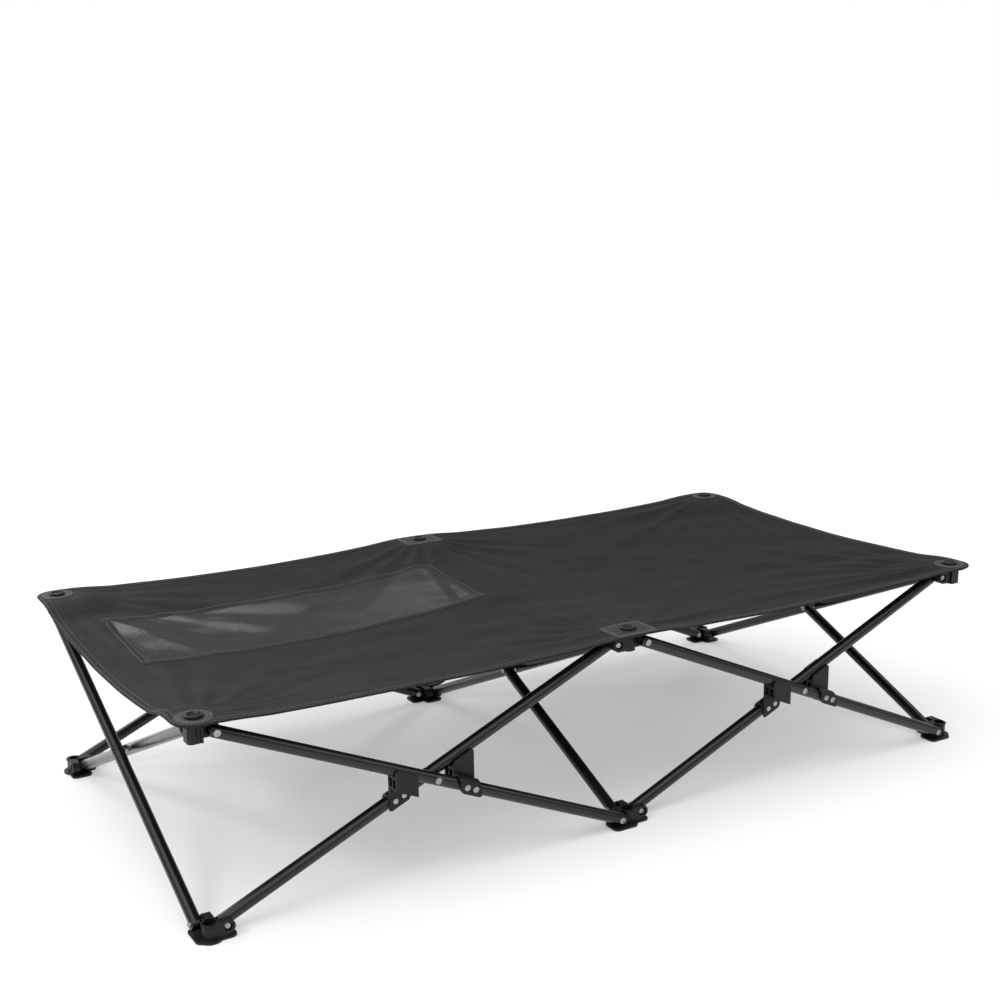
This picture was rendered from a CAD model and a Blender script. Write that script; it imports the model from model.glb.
"""Sling, stitching, finishes and studio for a raised folding dog bed.

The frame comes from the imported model. This script makes the fabric that replaces its plain
sling, gives every part its finish, and sets up a plain pale studio.
"""

import math
import random

import bpy
import numpy as np
from mathutils import Matrix, Vector


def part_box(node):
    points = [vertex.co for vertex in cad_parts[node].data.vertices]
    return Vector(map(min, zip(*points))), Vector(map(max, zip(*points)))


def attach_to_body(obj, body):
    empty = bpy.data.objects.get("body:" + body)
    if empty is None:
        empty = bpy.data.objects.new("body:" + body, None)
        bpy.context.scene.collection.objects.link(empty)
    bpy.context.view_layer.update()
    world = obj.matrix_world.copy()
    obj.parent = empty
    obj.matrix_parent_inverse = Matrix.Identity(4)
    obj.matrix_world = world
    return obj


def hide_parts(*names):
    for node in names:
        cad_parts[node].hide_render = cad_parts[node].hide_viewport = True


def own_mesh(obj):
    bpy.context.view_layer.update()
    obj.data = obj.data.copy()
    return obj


bl_info = {
    "name": "Folding dog bed",
    "version": (1, 0, 0),
    "blender": (4, 5, 0),
    "location": "View3D > Sidebar > Dog bed",
    "description": "Makes the sling of a folding dog bed and finishes its frame",
    "category": "Object",
}

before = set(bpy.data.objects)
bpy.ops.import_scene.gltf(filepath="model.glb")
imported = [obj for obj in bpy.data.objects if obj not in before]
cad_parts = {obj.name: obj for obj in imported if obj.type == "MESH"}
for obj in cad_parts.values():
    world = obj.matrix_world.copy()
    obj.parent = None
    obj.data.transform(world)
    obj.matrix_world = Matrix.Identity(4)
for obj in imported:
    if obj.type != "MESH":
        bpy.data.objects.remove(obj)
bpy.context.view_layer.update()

COLUMNS = ("left", "middle", "right")
ROWS = ("front", "rear")
TAU = 2 * math.pi


def hub_centre(row, column):
    """Plan position of a hub: its cap is round about the hub's axis."""
    low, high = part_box(f"cap_{row}_{column}")
    return Vector(((low.x + high.x) / 2, (low.y + high.y) / 2))


HUBS = {(r, c): hub_centre(r, c) for r in ROWS for c in COLUMNS}
BAY = HUBS["front", "right"].x
HALF_DEPTH = HUBS["rear", "right"].y
STRIP_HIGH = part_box("sling_middle_strip")[1]
SLING_EDGE_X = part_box("sling_right_outer")[1].x
SLING_EDGE_Y = STRIP_HIGH.y
FLAT = round(STRIP_HIGH.x, 3)          # half width of the cloth kept on a column of hubs
INNER_Y = HALF_DEPTH - FLAT
GATHER_INSET = 0.003                   # a gathered panel's inset from the hub patches, each end
PANEL_ANCHOR = -INNER_Y + GATHER_INSET


# ---- settings ------------------------------------------------------------------


class SlingSettings(bpy.types.PropertyGroup):
    """Sizes of the fabric and what is sewn on it."""

    cell: bpy.props.FloatProperty(
        name="Cell", description="Spacing of the points of the fabric's surface",
        default=0.004, unit="LENGTH")
    thickness: bpy.props.FloatProperty(
        name="Thickness", description="Thickness of one layer of the coated weave",
        default=0.0012, unit="LENGTH")
    seat: bpy.props.FloatProperty(
        name="Seat", description="Gap between a hub's disc and the fabric on it",
        default=0.0001, unit="LENGTH")
    sag_left: bpy.props.FloatProperty(
        name="Sag, left", description="How far the fabric hangs across the bed at its left end",
        default=0.029, unit="LENGTH")
    sag_right: bpy.props.FloatProperty(
        name="Sag, right", description="How far the fabric hangs across the bed at its right end",
        default=0.012, unit="LENGTH")
    side_sag: bpy.props.FloatProperty(
        name="Side sag", description="How far the long edges hang between two hubs",
        default=0.008, unit="LENGTH")
    end_bow: bpy.props.FloatProperty(
        name="End bow", description="How far the short edges curve in",
        default=0.003, unit="LENGTH")
    side_bow: bpy.props.FloatProperty(
        name="Side bow", description="How far the long edges curve in, in each bay",
        default=0.007, unit="LENGTH")
    crease: bpy.props.FloatProperty(
        name="Crease height", description="Height of the creases that run out from the hubs",
        default=0.0042, unit="LENGTH")
    ripple: bpy.props.FloatProperty(
        name="Ripple height", description="Height of the slow waves in the fabric",
        default=0.0007, unit="LENGTH")
    hem_width: bpy.props.FloatProperty(
        name="Hem width", description="Width of the tape that binds the edges",
        default=0.013, unit="LENGTH")
    tape_thickness: bpy.props.FloatProperty(
        name="Tape thickness", description="Thickness of the binding tape",
        default=0.0007, unit="LENGTH")
    window_left: bpy.props.FloatProperty(
        name="Window left", description="Left edge of the mesh window",
        default=-0.556, unit="LENGTH")
    window_right: bpy.props.FloatProperty(
        name="Window right", description="Right edge of the mesh window",
        default=-0.044, unit="LENGTH")
    window_front: bpy.props.FloatProperty(
        name="Window front", description="Front edge of the mesh window",
        default=0.022, unit="LENGTH")
    window_rear: bpy.props.FloatProperty(
        name="Window rear", description="Rear edge of the mesh window",
        default=0.192, unit="LENGTH")
    stitch_pitch: bpy.props.FloatProperty(
        name="Stitch pitch", description="Distance from one stitch to the next",
        default=0.0044, unit="LENGTH")
    patch_radius: bpy.props.FloatProperty(
        name="Patch radius", description="Radius of the round patches at the corners",
        default=0.0235, unit="LENGTH")
    patch_thickness: bpy.props.FloatProperty(
        name="Patch thickness", description="Thickness of the patches on the hubs",
        default=0.001, unit="LENGTH")


class FinishSettings(bpy.types.PropertyGroup):
    """Colours of the bed's finishes."""

    cloth: bpy.props.FloatVectorProperty(
        name="Cloth", description="Coated polyester weave", subtype="COLOR",
        default=(0.009, 0.0091, 0.0093))
    cloth_worn: bpy.props.FloatVectorProperty(
        name="Cloth, rubbed", description="The weave where it is rubbed or faded",
        subtype="COLOR", default=(0.026, 0.0262, 0.0267))
    mesh: bpy.props.FloatVectorProperty(
        name="Mesh", description="Threads of the open mesh", subtype="COLOR",
        default=(0.030, 0.0302, 0.031))
    tape: bpy.props.FloatVectorProperty(
        name="Tape", description="Binding tape", subtype="COLOR",
        default=(0.009, 0.0091, 0.0095))
    thread: bpy.props.FloatVectorProperty(
        name="Thread", description="Sewing thread", subtype="COLOR",
        default=(0.130, 0.131, 0.134))
    coat: bpy.props.FloatVectorProperty(
        name="Powder coat", description="Powder coat on the tubes", subtype="COLOR",
        default=(0.0045, 0.0046, 0.005))
    nylon: bpy.props.FloatVectorProperty(
        name="Nylon", description="Moulded hubs, feet, clips and caps", subtype="COLOR",
        default=(0.0042, 0.0042, 0.0045))
    zinc: bpy.props.FloatVectorProperty(
        name="Zinc", description="Zinc-plated rivets", subtype="COLOR",
        default=(0.42, 0.425, 0.435))
    dust: bpy.props.FloatVectorProperty(
        name="Dust", description="Settled dust", subtype="COLOR",
        default=(0.20, 0.19, 0.175))


class StudioSettings(bpy.types.PropertyGroup):
    """Camera, floor and lights."""

    camera_place: bpy.props.FloatVectorProperty(
        name="Camera", description="Where the camera stands", subtype="TRANSLATION",
        default=(-1.0827, -1.8175, 0.8642), unit="LENGTH")
    azimuth: bpy.props.FloatProperty(
        name="Azimuth", description="How far the view is turned from along the bed's width",
        default=math.radians(30.30), subtype="ANGLE")
    elevation: bpy.props.FloatProperty(
        name="Elevation", description="How far the camera looks down",
        default=math.radians(15.475), subtype="ANGLE")
    roll: bpy.props.FloatProperty(
        name="Roll", description="How far the camera is tipped about its axis",
        default=math.radians(-0.99), subtype="ANGLE")
    lens: bpy.props.FloatProperty(
        name="Lens", description="Focal length", default=52.69, unit="CAMERA")
    rise: bpy.props.FloatProperty(
        name="Rise", description="Lens shift upwards, as a share of the sensor",
        default=0.08)
    ambient: bpy.props.FloatProperty(
        name="Ambient", description="Strength of the even light from all round", default=0.42)
    sun: bpy.props.FloatProperty(
        name="Sky light", description="Strength of the very soft light from above", default=2.1)
    glow: bpy.props.FloatProperty(
        name="Floor glow", description="Light that comes through the floor, as on a light table",
        default=0.5)
    floor: bpy.props.FloatVectorProperty(
        name="Floor", description="Pale floor", subtype="COLOR",
        default=(0.66, 0.66, 0.66))


# ---- the fabric's surface ------------------------------------------------------


def settings():
    return bpy.context.scene.dogbed_sling


def colours():
    return bpy.context.scene.dogbed_finish


def smooth(low, high, value):
    """Smooth step from 0 at low to 1 at high."""
    t = np.clip((value - low) / (high - low), 0, 1)
    return t * t * (3 - 2 * t)


def soft_floor(value, blend=0.14):
    """max(value, 0) with a rounded corner."""
    return (value + np.sqrt(value * value + blend * blend)) / 2


class Surface:
    """Top of the fabric. A point of the flat cut, (u, v), goes to its place on the bed."""

    SEED = 7                # of the creases' and waves' random draws
    MIDDLE_FAN = (1.45, 17)     # half angle of a middle hub's fan in radians, and its creases
    CORNER_FAN = (0.72, 13)
    BAY_DIP = 0.28          # extra sag halfway along a bay, as a share of the sag
    CREASE_FLARE = 0.035    # growth of a crease's width for each metre from its hub

    def __init__(self):
        s = settings()
        self.s = s
        self.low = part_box("top_hub_front_middle")[1].z + s.seat
        self.top = self.low + s.thickness
        self.rng = random.Random(self.SEED)
        self.fans = [self.fan(row, column) for row in ROWS for column in COLUMNS]
        self.waves = [
            (self.rng.uniform(0, TAU), self.rng.uniform(0.07, 0.19), self.rng.uniform(0, math.pi),
             self.rng.uniform(0.5, 1.0))
            for _ in range(9)
        ]

    def fan(self, row, column):
        """Creases that run out from one hub: angle, height, width and reach of each."""
        hub = HUBS[row, column]
        inward = math.pi / 2 if row == "front" else -math.pi / 2
        if column == "middle":
            half, count = self.MIDDLE_FAN
            first, last = inward - half, inward + half
        else:
            turn = -math.pi / 4 if (column == "left") == (row == "front") else math.pi / 4
            half, count = self.CORNER_FAN
            first, last = inward + turn - half, inward + turn + half
        step = (last - first) / (count - 1)
        lines = []
        for i in range(count):
            angle = first + i * step + self.rng.uniform(-0.3, 0.3) * step
            side = 1 if i % 2 else -0.8
            lines.append((
                angle,
                side * self.rng.uniform(0.35, 1.0),
                self.rng.uniform(0.004, 0.008),
                self.rng.uniform(0.08, 0.34),
            ))
        return hub, lines

    def plan(self, u, v):
        """Places points of the flat cut on the bed's curved outline, seen from above."""
        s = self.s
        au, av = np.abs(u), np.abs(v)
        end = np.clip(1 - (v / INNER_Y) ** 2, 0, 1) * s.end_bow
        side = np.clip(1 - ((au - BAY / 2) / (BAY / 2 - FLAT)) ** 2, 0, 1) * s.side_bow
        x = au - np.clip((au - BAY + FLAT) / (SLING_EDGE_X - BAY + FLAT), 0, 1) * end
        y = av - np.clip((av - INNER_Y) / (SLING_EDGE_Y - INNER_Y), 0, 1) * side
        a, b = np.clip(au - BAY, 0, None), np.clip(av - HALF_DEPTH, 0, None)
        corner = (a > 0) & (b > 0)
        scale = np.where(corner, np.maximum(a, b) / np.maximum(np.hypot(a, b), 1e-9), 1.0)
        x = np.where(corner, BAY + a * scale, x)
        y = np.where(corner, HALF_DEPTH + b * scale, y)
        return np.sign(u) * x, np.sign(v) * y

    def height(self, x, y):
        """Height of the fabric's top."""
        s = self.s
        across = soft_floor(1 - (y / HALF_DEPTH) ** 2)
        along = soft_floor(1 - ((np.abs(x) - BAY / 2) / (BAY / 2)) ** 2)
        hang = s.sag_left + (s.sag_right - s.sag_left) * smooth(-BAY, BAY, x)
        sag = hang * across * (1 + self.BAY_DIP * along) + s.side_sag * along
        free = np.ones_like(x)
        crease = np.zeros_like(x)
        for hub, lines in self.fans:
            dx, dy = x - hub.x, y - hub.y
            r = np.hypot(dx, dy)
            free *= smooth(0.020, 0.095, r)
            for angle, height, width, reach in lines:
                along_line = dx * math.cos(angle) + dy * math.sin(angle)
                off_line = dy * math.cos(angle) - dx * math.sin(angle)
                spread = width + self.CREASE_FLARE * np.clip(along_line, 0, None)
                crease += (height * smooth(0.024, 0.06, along_line) * np.exp(-along_line / reach)
                           * np.exp(-((off_line / spread) ** 2)))
        ripple = np.zeros_like(x)
        for turn, length, phase, share in self.waves:
            lean = 0.35 * math.sin(turn)
            ripple += share * np.sin(TAU * (y + lean * x) / length + phase
                                     + 0.8 * np.sin(TAU * x / (length * 3.1) + turn))
        inside = smooth(0, 0.05, SLING_EDGE_Y - np.abs(y)) * smooth(0, 0.05, SLING_EDGE_X - np.abs(x))
        return (self.top - free * sag + s.crease * crease
                + s.ripple * 0.45 * ripple * free * (0.25 + 0.75 * inside))

    def top_at(self, u, v):
        """Points on the fabric's top for arrays u and v, as an array of (x, y, z)."""
        u, v = np.asarray(u, float), np.asarray(v, float)
        x, y = self.plan(u, v)
        return np.stack([x, y, self.height(x, y)], -1)

    def normal_at(self, u, v):
        """Upward normals of the fabric's top."""
        x, y = self.plan(np.asarray(u, float), np.asarray(v, float))
        step = 0.0006
        slope_x = (self.height(x + step, y) - self.height(x - step, y)) / (2 * step)
        slope_y = (self.height(x, y + step) - self.height(x, y - step)) / (2 * step)
        n = np.stack([-slope_x, -slope_y, np.ones_like(slope_x)], -1)
        return n / np.linalg.norm(n, axis=-1, keepdims=True)


def areas():
    """The thirteen areas of the sling: name, extent of its flat cut, body, squash anchor."""
    made = []
    spans = [("left", -SLING_EDGE_X, -BAY + FLAT), ("middle", -FLAT, FLAT),
             ("right", BAY - FLAT, SLING_EDGE_X)]
    for column, u0, u1 in spans:
        made.append((f"patch_front_{column}", u0, u1, -SLING_EDGE_Y, -INNER_Y,
                     f"top_hub_front_{column}", None))
        made.append((f"patch_rear_{column}", u0, u1, INNER_Y, SLING_EDGE_Y,
                     f"top_hub_rear_{column}", None))
        made.append((f"strip_{column}", u0, u1, -INNER_Y, INNER_Y,
                     f"top_hub_front_{column}", -INNER_Y))
    half = BAY / 2
    for name, u0, u1 in (("left_outer", -BAY + FLAT, -half), ("left_inner", -half, -FLAT),
                         ("right_inner", FLAT, half), ("right_outer", half, BAY - FLAT)):
        made.append((f"panel_{name}", u0, u1, -SLING_EDGE_Y, SLING_EDGE_Y,
                     f"sling_{name}", PANEL_ANCHOR))
    return made


def steps(low, high):
    """Evenly spaced values from low to high, about a cell apart."""
    count = max(2, round((high - low) / settings().cell))
    return np.linspace(low, high, count + 1)


# ---- mesh helpers --------------------------------------------------------------


def new_object(name, points, faces, materials, smooth_faces=True):
    """An object made of these points and faces, with its origin at the bed's."""
    mesh = bpy.data.meshes.new(name)
    mesh.from_pydata([tuple(map(float, p)) for p in points], [], faces)
    mesh.validate()
    for material in materials:
        mesh.materials.append(material)
    mesh.polygons.foreach_set("use_smooth", [smooth_faces] * len(mesh.polygons))
    mesh.update()
    made = bpy.data.objects.new(name, mesh)
    bpy.context.scene.collection.objects.link(made)
    return made


def mark_sharp(mesh, angle=math.radians(50)):
    """Keeps the edges between steep faces crisp, while the rest stays smooth."""
    mesh.set_sharp_from_angle(angle=angle)


def attach(piece, body, anchor):
    """Makes a piece ride on its body, and gather across the bed as the frame folds."""
    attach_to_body(piece, body)
    if anchor is None:
        return
    if body.startswith("sling_"):
        anchor = PANEL_ANCHOR
    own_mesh(piece)


class Batch:
    """Collects the points and faces of many small solids for one object."""

    def __init__(self):
        self.points = []
        self.faces = []

    def loft(self, rings):
        """A closed solid through rings of the same number of points."""
        first = len(self.points)
        size = len(rings[0])
        for ring in rings:
            self.points.extend(ring)
        for k in range(len(rings) - 1):
            for i in range(size):
                j = (i + 1) % size
                a, b = first + k * size, first + (k + 1) * size
                self.faces.append((a + i, a + j, b + j, b + i))
        self.faces.append(tuple(first + i for i in reversed(range(size))))
        last = first + (len(rings) - 1) * size
        self.faces.append(tuple(last + i for i in range(size)))

    def make(self, name, material, sharp=True):
        made = new_object(name, self.points, self.faces, [material])
        if sharp:
            mark_sharp(made.data)
        return made


def stitch(batch, start, end, up, width=0.0008, rise=0.00045):
    """One stitch: a short, low thread that dips into the cloth at both ends."""
    start, end, up = Vector(start), Vector(end), Vector(up)
    side = (end - start).cross(up).normalized()
    rings = []
    for t, w, h in ((0.0, 0.35, -0.3), (0.25, 1.0, 0.8), (0.75, 1.0, 0.8), (1.0, 0.35, -0.3)):
        centre = start.lerp(end, t)
        half, high = side * (width / 2 * w), up * (rise * h)
        rings.append([centre - half - up * 0.0003, centre + half - up * 0.0003,
                      centre + half * 0.6 + high, centre - half * 0.6 + high])
    batch.loft(rings)


def stitch_row(batch, points, ups):
    """A row of stitches along a line on the cloth."""
    pitch = settings().stitch_pitch
    points, ups = np.asarray(points), np.asarray(ups)
    runs = np.concatenate([[0], np.cumsum(np.linalg.norm(np.diff(points, axis=0), axis=1))])
    count = max(1, int(runs[-1] / pitch))
    pitch = runs[-1] / count
    for k in range(count):
        ends = (k * pitch + 0.14 * pitch, k * pitch + 0.86 * pitch)
        at = [np.array([np.interp(e, runs, points[:, i]) for i in range(3)]) for e in ends]
        up = np.array([np.interp(sum(ends) / 2, runs, ups[:, i]) for i in range(3)])
        stitch(batch, at[0], at[1], up / np.linalg.norm(up))


# ---- shader groups -------------------------------------------------------------


class Graph:
    """A short way to place and link shader nodes."""

    def __init__(self, tree):
        self.tree = tree

    def add(self, kind, **values):
        node = self.tree.nodes.new(kind)
        for key, value in values.items():
            setattr(node, key, value)
        return node

    def put(self, node, socket, value):
        """Links an output to a socket, or sets the socket to a plain value."""
        target = node.inputs[socket]
        if isinstance(value, bpy.types.NodeSocket):
            self.tree.links.new(value, target)
        else:
            target.default_value = value

    def math(self, operation, *values):
        node = self.add("ShaderNodeMath", operation=operation)
        for i, value in enumerate(values):
            self.put(node, i, value)
        return node.outputs[0]

    def mix(self, factor, a, b):
        node = self.add("ShaderNodeMix", data_type="RGBA")
        self.put(node, 0, factor)
        self.put(node, 6, a)
        self.put(node, 7, b)
        return node.outputs[2]

    def spread(self, value, low, high, to_low=0.0, to_high=1.0):
        """Maps a value from one range to another, held inside it."""
        node = self.add("ShaderNodeMapRange")
        for i, v in enumerate((value, low, high, to_low, to_high)):
            self.put(node, i, v)
        return node.outputs[0]

    def noise(self, vector, scale, detail=2.0, rough=0.5):
        node = self.add("ShaderNodeTexNoise")
        self.put(node, "Vector", vector)
        self.put(node, "Scale", scale)
        self.put(node, "Detail", detail)
        self.put(node, "Roughness", rough)
        return node.outputs[0]

    def stretch(self, vector, amounts):
        node = self.add("ShaderNodeMapping")
        self.put(node, "Vector", vector)
        node.inputs["Scale"].default_value = amounts
        return node.outputs[0]

    def bump(self, height, distance, strength, under=None):
        node = self.add("ShaderNodeBump")
        self.put(node, "Height", height)
        node.inputs["Distance"].default_value = distance
        node.inputs["Strength"].default_value = strength
        if under is not None:
            self.put(node, "Normal", under)
        return node.outputs[0]


def open_group(name, inputs, outputs):
    """A shader node group with named sockets, and a Graph for its insides."""
    tree = bpy.data.node_groups.new(name, "ShaderNodeTree")
    for label, kind, value in inputs:
        socket = tree.interface.new_socket(label, in_out="INPUT", socket_type=kind)
        if value is not None:
            socket.default_value = value
    for label, kind in outputs:
        tree.interface.new_socket(label, in_out="OUTPUT", socket_type=kind)
    g = Graph(tree)
    return g, g.add("NodeGroupInput").outputs, g.add("NodeGroupOutput")


def weave_group():
    """Plain weave: threads over and under each other, with uneven slack."""
    if "Plain weave" in bpy.data.node_groups:
        return bpy.data.node_groups["Plain weave"]
    g, given, out = open_group(
        "Plain weave",
        [("Vector", "NodeSocketVector", None), ("Threads per metre", "NodeSocketFloat", 700.0),
         ("Slack", "NodeSocketFloat", 0.35)],
        [("Height", "NodeSocketFloat"), ("Opening", "NodeSocketFloat"),
         ("Tint", "NodeSocketFloat")])
    drift = g.math("MULTIPLY", g.noise(given["Vector"], 55.0, 1.0), given["Slack"])
    split = g.add("ShaderNodeSeparateXYZ")
    g.put(split, 0, given["Vector"])
    turn = g.math("MULTIPLY", given["Threads per metre"], math.pi)
    waves = []
    for axis in (0, 1):
        angle = g.math("ADD", g.math("MULTIPLY", split.outputs[axis], turn), drift)
        waves.append(g.math("SINE", angle))
    over = g.math("MULTIPLY", waves[0], waves[1])
    warp, weft = (g.math("ABSOLUTE", w) for w in waves)
    g.put(out, "Height", g.math("ADD", g.math("MULTIPLY", over, 0.5), g.math("MAXIMUM", warp, weft)))
    g.put(out, "Opening", g.math("MINIMUM", warp, weft))
    g.put(out, "Tint", g.spread(over, -1.0, 1.0))
    return g.tree


def grain_group():
    """Fine surface grain with slow patches of polish."""
    if "Surface grain" in bpy.data.node_groups:
        return bpy.data.node_groups["Surface grain"]
    g, given, out = open_group(
        "Surface grain",
        [("Vector", "NodeSocketVector", None), ("Grain scale", "NodeSocketFloat", 1500.0),
         ("Patch scale", "NodeSocketFloat", 22.0)],
        [("Height", "NodeSocketFloat"), ("Polish", "NodeSocketFloat"),
         ("Scuff", "NodeSocketFloat")])
    fine = g.noise(given["Vector"], given["Grain scale"], 3.0, 0.6)
    patch = g.noise(given["Vector"], given["Patch scale"], 4.0, 0.55)
    marks = g.noise(g.stretch(given["Vector"], (1.0, 0.22, 3.1)), 160.0, 6.0, 0.7)
    g.put(out, "Height", fine)
    g.put(out, "Polish", g.spread(patch, 0.34, 0.68))
    g.put(out, "Scuff", g.spread(marks, 0.62, 0.76))
    return g.tree


def dust_group():
    """Dust that settles on what faces up, in soft patches."""
    if "Settled dust" in bpy.data.node_groups:
        return bpy.data.node_groups["Settled dust"]
    g, given, out = open_group(
        "Settled dust",
        [("Vector", "NodeSocketVector", None), ("Normal", "NodeSocketVector", None),
         ("Colour", "NodeSocketColor", None), ("Dust", "NodeSocketColor", None),
         ("Amount", "NodeSocketFloat", 0.1)],
        [("Colour", "NodeSocketColor"), ("Cover", "NodeSocketFloat")])
    split = g.add("ShaderNodeSeparateXYZ")
    g.put(split, 0, given["Normal"])
    facing = g.spread(split.outputs[2], 0.15, 0.95)
    soft = g.spread(g.noise(given["Vector"], 38.0, 5.0, 0.65), 0.35, 0.75)
    cover = g.math("MULTIPLY", g.math("MULTIPLY", facing, soft), given["Amount"])
    g.put(out, "Cover", cover)
    g.put(out, "Colour", g.mix(cover, given["Colour"], given["Dust"]))
    return g.tree


class Finish:
    """A new material with a Principled shader, and the coordinates that its maps use."""

    def __init__(self, name):
        self.material = bpy.data.materials.new(name)
        self.material.use_nodes = True
        self.g = Graph(self.material.node_tree)
        self.shader = self.material.node_tree.nodes["Principled BSDF"]
        self.place = self.g.add("ShaderNodeTexCoord").outputs["Object"]
        self.normal = self.g.add("ShaderNodeNewGeometry").outputs["Normal"]

    def use(self, tree, **values):
        node = self.g.add("ShaderNodeGroup", node_tree=tree)
        self.g.put(node, "Vector", self.place)
        for key, value in values.items():
            self.g.put(node, key.replace("_", " "), value)
        return node.outputs

    def set(self, **values):
        for key, value in values.items():
            self.g.put(self.shader, key.replace("_", " "), value)
        return self.material


def opaque(colour):
    return (*colour, 1.0)


def dusty(f, colour, amount):
    """The colour with settled dust on it, and how much there is."""
    return f.use(dust_group(), Normal=f.normal, Colour=colour,
                 Dust=opaque(colours().dust), Amount=amount)


def cloth_material():
    """Charcoal coated polyester: uneven weave, faint fading, darker towards the right end."""
    f = Finish("charcoal_weave")
    c = colours()
    weave = f.use(weave_group(), Threads_per_metre=640.0, Slack=0.9)
    fade = f.g.noise(f.g.stretch(f.place, (1.0, 4.5, 1.0)), 5.5, 6.0, 0.6)
    rubbed = f.g.spread(fade, 0.36, 0.70)
    flecks = f.g.noise(f.place, 420.0, 2.0)
    tone = f.g.math("ADD", f.g.math("MULTIPLY", rubbed, 0.55),
                    f.g.math("MULTIPLY", weave["Tint"], 0.28))
    tone = f.g.math("ADD", tone, f.g.math("MULTIPLY", flecks, 0.18))
    split = f.g.add("ShaderNodeSeparateXYZ")
    f.g.put(split, 0, f.place)
    tone = f.g.math("MULTIPLY", tone, f.g.spread(split.outputs[0], -0.2, 0.5, 1.1, 0.15))
    colour = f.g.mix(tone, opaque(c.cloth), opaque(c.cloth_worn))
    covered = dusty(f, colour, 0.02)
    crumple = f.g.noise(f.g.stretch(f.place, (1.0, 1.9, 1.0)), 26.0, 5.0, 0.62)
    under = f.g.bump(crumple, 0.0032, 0.42)
    return f.set(
        Base_Color=covered["Colour"],
        Roughness=f.g.spread(tone, 0.0, 1.0, 0.50, 0.62),
        Normal=f.g.bump(weave["Height"], 0.00022, 0.55, under),
        Sheen_Weight=0.01, Sheen_Roughness=0.45, Specular_IOR_Level=0.09)


def mesh_material():
    """Open polyester mesh: a grid of threads with holes between them."""
    f = Finish("open_mesh")
    weave = f.use(weave_group(), Threads_per_metre=420.0, Slack=0.25)
    hole = f.g.spread(weave["Opening"], 0.66, 0.78)
    tone = f.g.noise(f.g.stretch(f.place, (1.0, 3.0, 1.0)), 9.0, 5.0, 0.6)
    c = colours()
    colour = f.g.mix(f.g.spread(tone, 0.3, 0.75), opaque(c.mesh), opaque([v * 1.6 for v in c.mesh]))
    return f.set(
        Base_Color=colour,
        Alpha=f.g.math("SUBTRACT", 1.0, hole),
        Roughness=f.g.spread(tone, 0.3, 0.7, 0.55, 0.72),
        Normal=f.g.bump(weave["Height"], 0.0004, 0.6),
        Sheen_Weight=0.02, Sheen_Roughness=0.4, Specular_IOR_Level=0.12)


def tape_material():
    """Narrow woven binding tape, darker and tighter than the cloth."""
    f = Finish("binding_tape")
    weave = f.use(weave_group(), Threads_per_metre=900.0, Slack=0.3)
    tone = f.g.math("ADD", f.g.math("MULTIPLY", weave["Tint"], 0.5),
                    f.g.math("MULTIPLY", f.g.noise(f.place, 60.0, 4.0), 0.5))
    c = colours()
    return f.set(
        Base_Color=f.g.mix(tone, opaque(c.tape), opaque([v * 2.0 for v in c.tape])),
        Roughness=f.g.spread(tone, 0.0, 1.0, 0.55, 0.75),
        Normal=f.g.bump(weave["Height"], 0.0002, 0.5),
        Sheen_Weight=0.02, Sheen_Roughness=0.4, Specular_IOR_Level=0.15)


def patch_material():
    """Close, slightly shiny webbing of the hub patches."""
    f = Finish("patch_webbing")
    weave = f.use(weave_group(), Threads_per_metre=760.0, Slack=0.3)
    tone = f.g.math("ADD", f.g.math("MULTIPLY", weave["Tint"], 0.4),
                    f.g.math("MULTIPLY", f.g.noise(f.place, 80.0, 4.0), 0.6))
    c = colours()
    return f.set(
        Base_Color=f.g.mix(tone, opaque([v * 1.8 for v in c.cloth]), opaque([v * 4.5 for v in c.cloth])),
        Roughness=f.g.spread(tone, 0.0, 1.0, 0.42, 0.62),
        Normal=f.g.bump(weave["Height"], 0.0003, 0.6),
        Sheen_Weight=0.02, Sheen_Roughness=0.35, Specular_IOR_Level=0.25)


def thread_material():
    """Twisted polyester thread."""
    f = Finish("sewing_thread")
    twist = f.g.noise(f.g.stretch(f.place, (1.0, 1.0, 2.5)), 1900.0, 2.0)
    c = colours()
    return f.set(
        Base_Color=f.g.mix(twist, opaque(c.thread), opaque([v * 1.5 for v in c.thread])),
        Roughness=f.g.spread(twist, 0.3, 0.7, 0.42, 0.6),
        Normal=f.g.bump(twist, 0.0001, 0.5))


def coated_tube_material():
    """Gloss black powder coat, with orange peel, faint scuffs and a little dust."""
    f = Finish("gloss_powder_coat")
    grain = f.use(grain_group(), Grain_scale=620.0, Patch_scale=14.0)
    c = colours()
    rubbed = f.g.mix(f.g.math("MULTIPLY", grain["Scuff"], 0.35), opaque(c.coat),
                     opaque([v * 4.0 for v in c.coat]))
    covered = dusty(f, rubbed, 0.03)
    rough = f.g.math("ADD", f.g.spread(grain["Polish"], 0.0, 1.0, 0.20, 0.30),
                     f.g.math("MULTIPLY", grain["Scuff"], 0.14))
    return f.set(
        Base_Color=covered["Colour"], Roughness=rough,
        Normal=f.g.bump(grain["Height"], 0.00012, 0.35), Specular_IOR_Level=0.38,
        Coat_Weight=0.15, Coat_Roughness=0.1)


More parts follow.
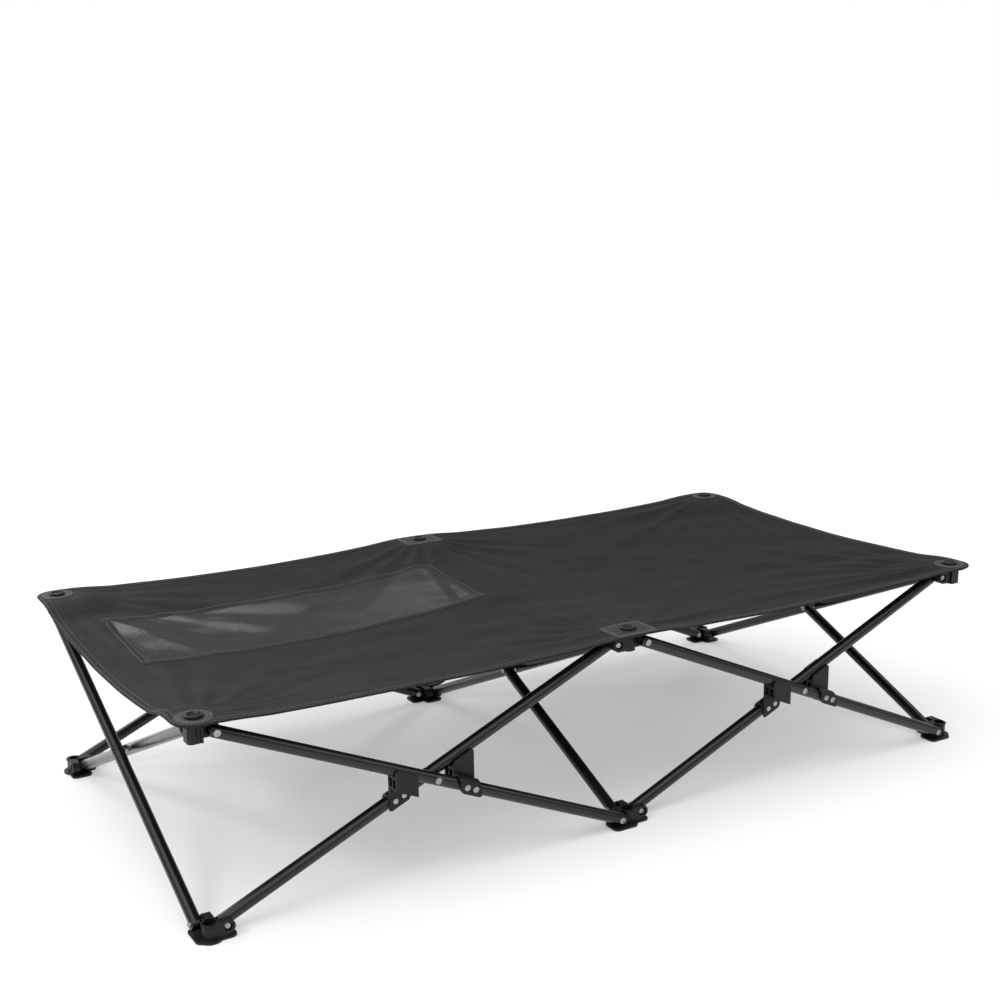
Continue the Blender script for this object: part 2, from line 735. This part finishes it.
def moulded_material(name, shade, polish, dust):
    """Black moulded nylon: spark-eroded grain, rubbed patches and dust on top."""
    f = Finish(name)
    grain = f.use(grain_group(), Grain_scale=1300.0, Patch_scale=30.0)
    base = [v * shade for v in colours().nylon]
    worn = f.g.math("ADD", f.g.math("MULTIPLY", grain["Polish"], 0.35),
                    f.g.math("MULTIPLY", grain["Scuff"], 0.3))
    covered = dusty(f, f.g.mix(worn, opaque(base), opaque([v * 2.6 for v in base])), dust)
    rough = f.g.math("ADD", f.g.spread(grain["Polish"], 0.0, 1.0, polish, polish + 0.12),
                     f.g.math("MULTIPLY", grain["Scuff"], 0.12))
    return f.set(
        Base_Color=covered["Colour"], Roughness=rough,
        Normal=f.g.bump(grain["Height"], 0.00016, 0.5), Specular_IOR_Level=0.3)


def zinc_material():
    """Bright zinc plate with fine turning marks and dull spots."""
    f = Finish("zinc_plate")
    grain = f.use(grain_group(), Grain_scale=2600.0, Patch_scale=210.0)
    c = colours()
    colour = f.g.mix(grain["Polish"], opaque([v * 0.72 for v in c.zinc]), opaque(c.zinc))
    rough = f.g.math("ADD", f.g.spread(grain["Polish"], 0.0, 1.0, 0.34, 0.20),
                     f.g.math("MULTIPLY", grain["Scuff"], 0.2))
    return f.set(
        Base_Color=colour, Roughness=rough, Metallic=1.0,
        Normal=f.g.bump(grain["Height"], 0.0001, 0.4))


def shared(name, maker):
    """The material of this name, made the first time it is asked for."""
    return bpy.data.materials.get(name) or maker()


def cloth():
    return shared("charcoal_weave", cloth_material)


def tape():
    return shared("binding_tape", tape_material)


def thread():
    return shared("sewing_thread", thread_material)


def dress(prefixes, material):
    """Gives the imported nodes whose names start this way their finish."""
    for name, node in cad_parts.items():
        if name.startswith(prefixes):
            if not node.material_slots:
                node.data.materials.append(material)
            for place in node.material_slots:
                place.material = material


# ---- pieces --------------------------------------------------------------------


def lay_area(surface, area, window):
    """One area of the sling, a closed sheet with its top and underside."""
    name, u0, u1, v0, v1, body, anchor = area
    s = settings()
    us, vs = steps(u0, u1), steps(v0, v1)
    grid_u, grid_v = np.meshgrid(us, vs, indexing="ij")
    top = surface.top_at(grid_u, grid_v)
    low = top - surface.normal_at(grid_u, grid_v) * s.thickness
    m, n = grid_u.shape
    points = np.concatenate([top.reshape(-1, 3), low.reshape(-1, 3)])
    under = m * n
    faces, in_window = [], []
    for i in range(m - 1):
        mid_u = (us[i] + us[i + 1]) / 2
        for j in range(n - 1):
            mid_v = (vs[j] + vs[j + 1]) / 2
            a, b, c, d = i * n + j, (i + 1) * n + j, (i + 1) * n + j + 1, i * n + j + 1
            faces += [(a, b, c, d), (under + d, under + c, under + b, under + a)]
            netting = (s.window_left < mid_u < s.window_right
                       and s.window_front < mid_v < s.window_rear)
            in_window += [int(netting)] * 2
    rim = ([i * n for i in range(m)] + [(m - 1) * n + j for j in range(1, n)]
           + [i * n + n - 1 for i in range(m - 2, -1, -1)] + [j for j in range(n - 2, 0, -1)])
    for a, b in zip(rim, rim[1:] + rim[:1]):
        faces.append((b, a, under + a, under + b))
        in_window.append(0)
    made = new_object(f"sling_{name}", points, faces, [cloth(), window])
    made.data.polygons.foreach_set("material_index", in_window)
    mark_sharp(made.data)
    attach(made, body, anchor)
    return made


def edge_paths(u0, u1, v0, v1):
    """The stretches of an area's border that lie on the sling's own edge."""
    paths = []
    on_left, on_right = u0 <= -SLING_EDGE_X + 1e-6, u1 >= SLING_EDGE_X - 1e-6
    for at_edge, v, order in ((v0 <= -SLING_EDGE_Y + 1e-6, v0, 1), (v1 >= SLING_EDGE_Y - 1e-6, v1, -1)):
        if at_edge:
            paths.append([(u, v) for u in steps(u0, u1)][::order])
    if on_left:
        paths.append([(u0, v) for v in steps(v0, v1)][::-1])
    if on_right:
        paths.append([(u1, v) for v in steps(v0, v1)])
    if len(paths) == 2 and (on_left or on_right) and v1 - v0 < BAY / 4:
        flat, upright = paths
        joined = upright + flat[1:] if upright[-1] == flat[0] else flat + upright[1:]
        paths = [joined]
    return paths


def inward(point, distance):
    """The point of the flat cut this far in from a point on its edge."""
    u, v = point
    au, av = abs(u), abs(v)
    if au > BAY and av > HALF_DEPTH:
        share = 1 - distance / (SLING_EDGE_X - BAY)
        return (math.copysign(BAY + (au - BAY) * share, u),
                math.copysign(HALF_DEPTH + (av - HALF_DEPTH) * share, v))
    if av >= SLING_EDGE_Y - 1e-6:
        return u, math.copysign(av - distance, v)
    return math.copysign(au - distance, u), v


def bind_edges(surface, area):
    """The tape folded over the sling's edge along one area, with its stitches."""
    name, u0, u1, v0, v1, body, anchor = area
    s = settings()
    paths = edge_paths(u0, u1, v0, v1)
    if not paths:
        return
    tape_batch, thread_batch = Batch(), Batch()
    skin, t, w = s.tape_thickness, s.thickness, s.hem_width
    # across the tape: distance in from the edge, and height over the cloth's top
    profile = [(w, 0.15 * skin), (w - 0.0006, skin), (0.5 * w, 1.15 * skin), (0.0012, 1.1 * skin),
               (-0.0002, 0.7 * skin), (-0.5 * skin, 0.0), (-0.8 * skin, -0.5 * t),
               (-0.5 * skin, -t), (-0.0002, -t - 0.7 * skin), (0.0012, -t - 1.1 * skin),
               (0.5 * w, -t - 1.15 * skin), (w - 0.0006, -t - skin), (w, -t - 0.15 * skin),
               (w, -t + 0.1 * t), (0.0004, -t + 0.1 * t), (0.0004, -0.1 * t), (w, -0.1 * t)]
    for path in paths:
        rings = []
        for d, h in profile:
            spots = [inward(p, max(d, 0.0)) for p in path]
            u, v = np.array(spots).T
            at, up = surface.top_at(u, v), surface.normal_at(u, v)
            if d < 0:
                ui, vi = np.array([inward(p, 0.002) for p in path]).T
                out = at - surface.top_at(ui, vi)
                out /= np.linalg.norm(out, axis=1, keepdims=True)
                at = at + out * -d
            rings.append(at + up * h)
        rings = np.stack(rings, 1)
        tape_batch.loft([list(map(Vector, ring)) for ring in rings])
        for d in (0.0026, w - 0.0026):
            u, v = np.array([inward(p, d) for p in path]).T
            up = surface.normal_at(u, v)
            stitch_row(thread_batch, surface.top_at(u, v) + up * 1.05 * skin, up)
    for batch, label, material in ((tape_batch, "hem", tape()), (thread_batch, "hem_stitches", thread())):
        made = batch.make(f"{label}_{name}", material)
        attach(made, body, anchor)


def overlap(a0, a1, b0, b1):
    low, high = max(a0, b0), min(a1, b1)
    return (low, high) if high - low > 1e-6 else None


def frame_window(surface, area):
    """The tape sewn round the mesh window inside one area, with its stitches."""
    name, u0, u1, v0, v1, body, anchor = area
    s = settings()
    inner, outer = 0.004, 0.008
    tape_batch, thread_batch = Batch(), Batch()
    lines = []
    along = overlap(u0, u1, s.window_left - outer, s.window_right + outer)
    across = overlap(v0, v1, s.window_front - outer, s.window_rear + outer)
    if along and across:
        for v, side in ((s.window_front, -1), (s.window_rear, 1)):
            lines.append(([(u, v) for u in steps(*along)], (0, side)))
        for u, side in ((s.window_left, -1), (s.window_right, 1)):
            if u0 <= u <= u1:
                lines.append(([(u, v) for v in steps(s.window_front, s.window_rear)], (side, 0)))
    skin = s.tape_thickness
    profile = [(-inner, 0.1), (-inner + 0.0005, 0.9), (0.5 * (outer - inner), 1.05),
               (outer - 0.0005, 0.9), (outer, 0.1), (outer, -0.2), (-inner, -0.2)]
    for path, (du, dv) in lines:
        u, v = np.array(path).T
        rings = []
        for d, h in profile:
            at, up = surface.top_at(u + du * d, v + dv * d), surface.normal_at(u + du * d, v + dv * d)
            rings.append(at + up * (h * skin))
        rings = np.stack(rings, 1)
        if (du + dv) * (1 if du else -1) < 0:
            rings = rings[:, ::-1]
        tape_batch.loft([list(map(Vector, ring)) for ring in rings])
        for d in (-inner + 0.0022, outer - 0.0022):
            up = surface.normal_at(u + du * d, v + dv * d)
            stitch_row(thread_batch, surface.top_at(u + du * d, v + dv * d) + up * skin, up)
    if not lines:
        return
    for batch, label, material in ((tape_batch, "window_tape", tape()),
                                   (thread_batch, "window_stitches", thread())):
        made = batch.make(f"{label}_{name}", material)
        attach(made, body, anchor)


def patch_outline(column, share, radius, corner):
    """Points round a patch: a disc at a corner hub, a rounded rectangle at a middle one."""
    count = 72
    if column != "middle":
        return [(radius * share * math.cos(TAU * k / count), radius * share * math.sin(TAU * k / count))
                for k in range(count)]
    half_x, half_y = 0.033, 0.0262
    inset = radius * (1 - share)
    ring = []
    for k in range(count):
        angle = TAU * k / count
        cx, cy = math.cos(angle), math.sin(angle)
        ring.append((math.copysign(half_x - inset - corner, cx) * (abs(cx) > 1e-9) + (corner) * cx,
                     math.copysign(half_y - inset - corner, cy) * (abs(cy) > 1e-9) + (corner) * cy))
    return ring


def sew_patch(surface, row, column):
    """The patch on one hub, and its rows of stitches."""
    s = settings()
    hub = HUBS[row, column]
    radius, thick = s.patch_radius, s.patch_thickness
    batch, thread_batch = Batch(), Batch()
    rings = []
    for share, h in ((0.3, -0.3), (1.0, -0.3), (1.0, 0.25), (0.985, 0.75), (0.955, 1.0),
                     (0.72, 1.0), (0.3, 1.0)):
        outline = np.array(patch_outline(column, share, radius, 0.006)) + np.array(hub)[None, :2]
        x, y = outline.T
        rings.append(np.stack([x, y, surface.height(x, y) + h * thick], 1))
    batch.loft([list(map(Vector, ring)) for ring in rings])
    shares = (0.90, 0.83, 0.68) if column != "middle" else (0.90, 0.80)
    for share in shares:
        outline = np.array(patch_outline(column, share, radius, 0.006)) + np.array(hub)[None, :2]
        outline = np.concatenate([outline, outline[:1]])
        x, y = outline.T
        points = np.stack([x, y, surface.height(x, y) + 1.02 * thick], 1)
        stitch_row(thread_batch, points, np.tile([0.0, 0.0, 1.0], (len(points), 1)))
    for made in (batch.make(f"hub_patch_{row}_{column}", shared("patch_webbing", patch_material)),
                 thread_batch.make(f"hub_patch_stitches_{row}_{column}", thread())):
        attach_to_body(made, f"top_hub_{row}_{column}")


# ---- operators -----------------------------------------------------------------


class DOGBED_OT_studio(bpy.types.Operator):
    """Set up the camera, the pale floor and the soft lights"""

    bl_idname = "dogbed.studio"
    bl_label = "Set up the studio"

    def execute(self, context):
        s = context.scene.dogbed_studio
        self.camera(context, s)
        self.floor(s)
        self.lights(context, s)
        return {"FINISHED"}

    def camera(self, context, s):
        data = bpy.data.cameras.new("camera")
        data.lens = s.lens
        data.sensor_width = 36.0
        data.shift_y = s.rise
        data.clip_end = 50.0
        camera = bpy.data.objects.new("camera", data)
        forward = Vector((math.sin(s.azimuth) * math.cos(s.elevation),
                          math.cos(s.azimuth) * math.cos(s.elevation), -math.sin(s.elevation)))
        level = Vector((math.cos(s.azimuth), -math.sin(s.azimuth), 0.0))
        up = level.cross(forward)
        right = level * math.cos(s.roll) + up * math.sin(s.roll)
        turned_up = up * math.cos(s.roll) - level * math.sin(s.roll)
        axes = Matrix((right, turned_up, -forward)).transposed().to_4x4()
        camera.matrix_world = Matrix.Translation(s.camera_place) @ axes
        context.scene.collection.objects.link(camera)
        context.scene.camera = camera

    def floor(self, s):
        reach = 30.0
        f = Finish("pale_floor")
        tone = f.g.noise(f.place, 1.4, 3.0)
        shade = [v * 0.985 for v in s.floor]
        f.set(Base_Color=f.g.mix(tone, opaque(shade), opaque(s.floor)), Roughness=0.75,
              Specular_IOR_Level=0.0, Emission_Color=opaque(s.floor), Emission_Strength=s.glow)
        corners = [(-reach, -reach, 0), (reach, -reach, 0), (reach, reach, 0), (-reach, reach, 0)]
        made = new_object("floor", corners, [(0, 1, 2, 3)], [f.material], False)

    def lights(self, context, s):
        world = bpy.data.worlds.new("studio")
        world.use_nodes = True
        g = Graph(world.node_tree)
        back = world.node_tree.nodes["Background"]
        back.inputs["Color"].default_value = (1.0, 1.0, 1.0, 1.0)
        seen = g.add("ShaderNodeLightPath").outputs["Is Camera Ray"]
        g.put(back, "Strength", g.spread(seen, 0.0, 1.0, s.ambient, 1.0))
        context.scene.world = world
        context.scene.view_settings.view_transform = "Standard"
        sun = bpy.data.lights.new("sky", "SUN")
        sun.energy = s.sun
        sun.angle = math.radians(100)
        sky = bpy.data.objects.new("sky", sun)
        sky.rotation_euler = (math.radians(12), math.radians(-14), 0)
        context.scene.collection.objects.link(sky)
        lamps = (("key", (-2.4, -0.6, 2.0), 20.0, (1.6, 0.4)),
                 ("fill", (2.2, -1.8, 1.7), 6.0, (1.6, 0.5)),
                 ("rim", (-0.9, 2.6, 1.7), 20.0, (1.8, 0.4)))
        for name, place, power, size in lamps:
            data = bpy.data.lights.new(name, "AREA")
            data.shape = "RECTANGLE"
            data.size, data.size_y = size
            data.energy = power
            lamp = bpy.data.objects.new(name, data)
            lamp.location = place
            aim = Vector((0.0, 0.0, 0.2)) - Vector(place)
            lamp.rotation_euler = aim.to_track_quat("-Z", "Y").to_euler()
            context.scene.collection.objects.link(lamp)


class DOGBED_OT_tubes(bpy.types.Operator):
    """Finish the fourteen frame tubes with gloss black powder coat"""

    bl_idname = "dogbed.tubes"
    bl_label = "Finish the tubes"

    def execute(self, context):
        dress(("tube_",), coated_tube_material())
        return {"FINISHED"}


class DOGBED_OT_rivets(bpy.types.Operator):
    """Finish the rivets with bright zinc"""

    bl_idname = "dogbed.rivets"
    bl_label = "Finish the rivets"

    def execute(self, context):
        dress(("rivets_",), zinc_material())
        return {"FINISHED"}


class DOGBED_OT_mouldings(bpy.types.Operator):
    """Finish the moulded hubs, feet, lock clips and caps"""

    bl_idname = "dogbed.mouldings"
    bl_label = "Finish the mouldings"

    def execute(self, context):
        dress(("top_hub_",), moulded_material("hub_nylon", 1.0, 0.40, 0.015))
        dress(("foot_",), moulded_material("foot_nylon", 1.2, 0.38, 0.04))
        dress(("clip_",), moulded_material("clip_nylon", 1.1, 0.42, 0.02))
        dress(("cap_",), moulded_material("cap_nylon", 0.8, 0.30, 0.01))
        return {"FINISHED"}


class DOGBED_OT_sling(bpy.types.Operator):
    """Lay the fabric on the hubs, with its mesh window"""

    bl_idname = "dogbed.sling"
    bl_label = "Lay the sling"

    def execute(self, context):
        surface = Surface()
        window = mesh_material()
        for area in areas():
            made = lay_area(surface, area, window)
            if area[0].startswith("panel_"):
                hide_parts(area[5])
            if area[0] == "strip_middle":
                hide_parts("sling_middle_strip")
        return {"FINISHED"}


class DOGBED_OT_binding(bpy.types.Operator):
    """Bind the sling's edges and the mesh window with stitched tape"""

    bl_idname = "dogbed.binding"
    bl_label = "Sew the tapes"

    def execute(self, context):
        surface = Surface()
        for area in areas():
            bind_edges(surface, area)
            frame_window(surface, area)
        return {"FINISHED"}


class DOGBED_OT_patches(bpy.types.Operator):
    """Sew the patches on the hubs"""

    bl_idname = "dogbed.patches"
    bl_label = "Sew the patches"

    def execute(self, context):
        surface = Surface()
        for row in ROWS:
            for column in COLUMNS:
                sew_patch(surface, row, column)
        return {"FINISHED"}


class DOGBED_PT_panel(bpy.types.Panel):
    """Lists what makes the dog bed, in order"""

    bl_label = "Dog bed"
    bl_idname = "DOGBED_PT_panel"
    bl_space_type = "VIEW_3D"
    bl_region_type = "UI"
    bl_category = "Dog bed"

    def draw(self, context):
        for operator in OPERATORS:
            self.layout.operator(operator.bl_idname)
        for group in (context.scene.dogbed_sling, context.scene.dogbed_finish,
                      context.scene.dogbed_studio):
            box = self.layout.box()
            for name in group.__annotations__:
                box.prop(group, name)


OPERATORS = (DOGBED_OT_studio, DOGBED_OT_tubes, DOGBED_OT_rivets, DOGBED_OT_mouldings,
             DOGBED_OT_sling, DOGBED_OT_binding, DOGBED_OT_patches)
GROUPS = (SlingSettings, FinishSettings, StudioSettings)


def register():
    for item in (*GROUPS, *OPERATORS, DOGBED_PT_panel):
        bpy.utils.register_class(item)
    bpy.types.Scene.dogbed_sling = bpy.props.PointerProperty(type=SlingSettings)
    bpy.types.Scene.dogbed_finish = bpy.props.PointerProperty(type=FinishSettings)
    bpy.types.Scene.dogbed_studio = bpy.props.PointerProperty(type=StudioSettings)


def unregister():
    for name in ("dogbed_studio", "dogbed_finish", "dogbed_sling"):
        delattr(bpy.types.Scene, name)
    for item in reversed((*GROUPS, *OPERATORS, DOGBED_PT_panel)):
        bpy.utils.unregister_class(item)


def main():
    register()
    for operator in OPERATORS:
        group, name = operator.bl_idname.split(".")
        getattr(getattr(bpy.ops, group), name)()


if __name__ == "__main__":
    main()
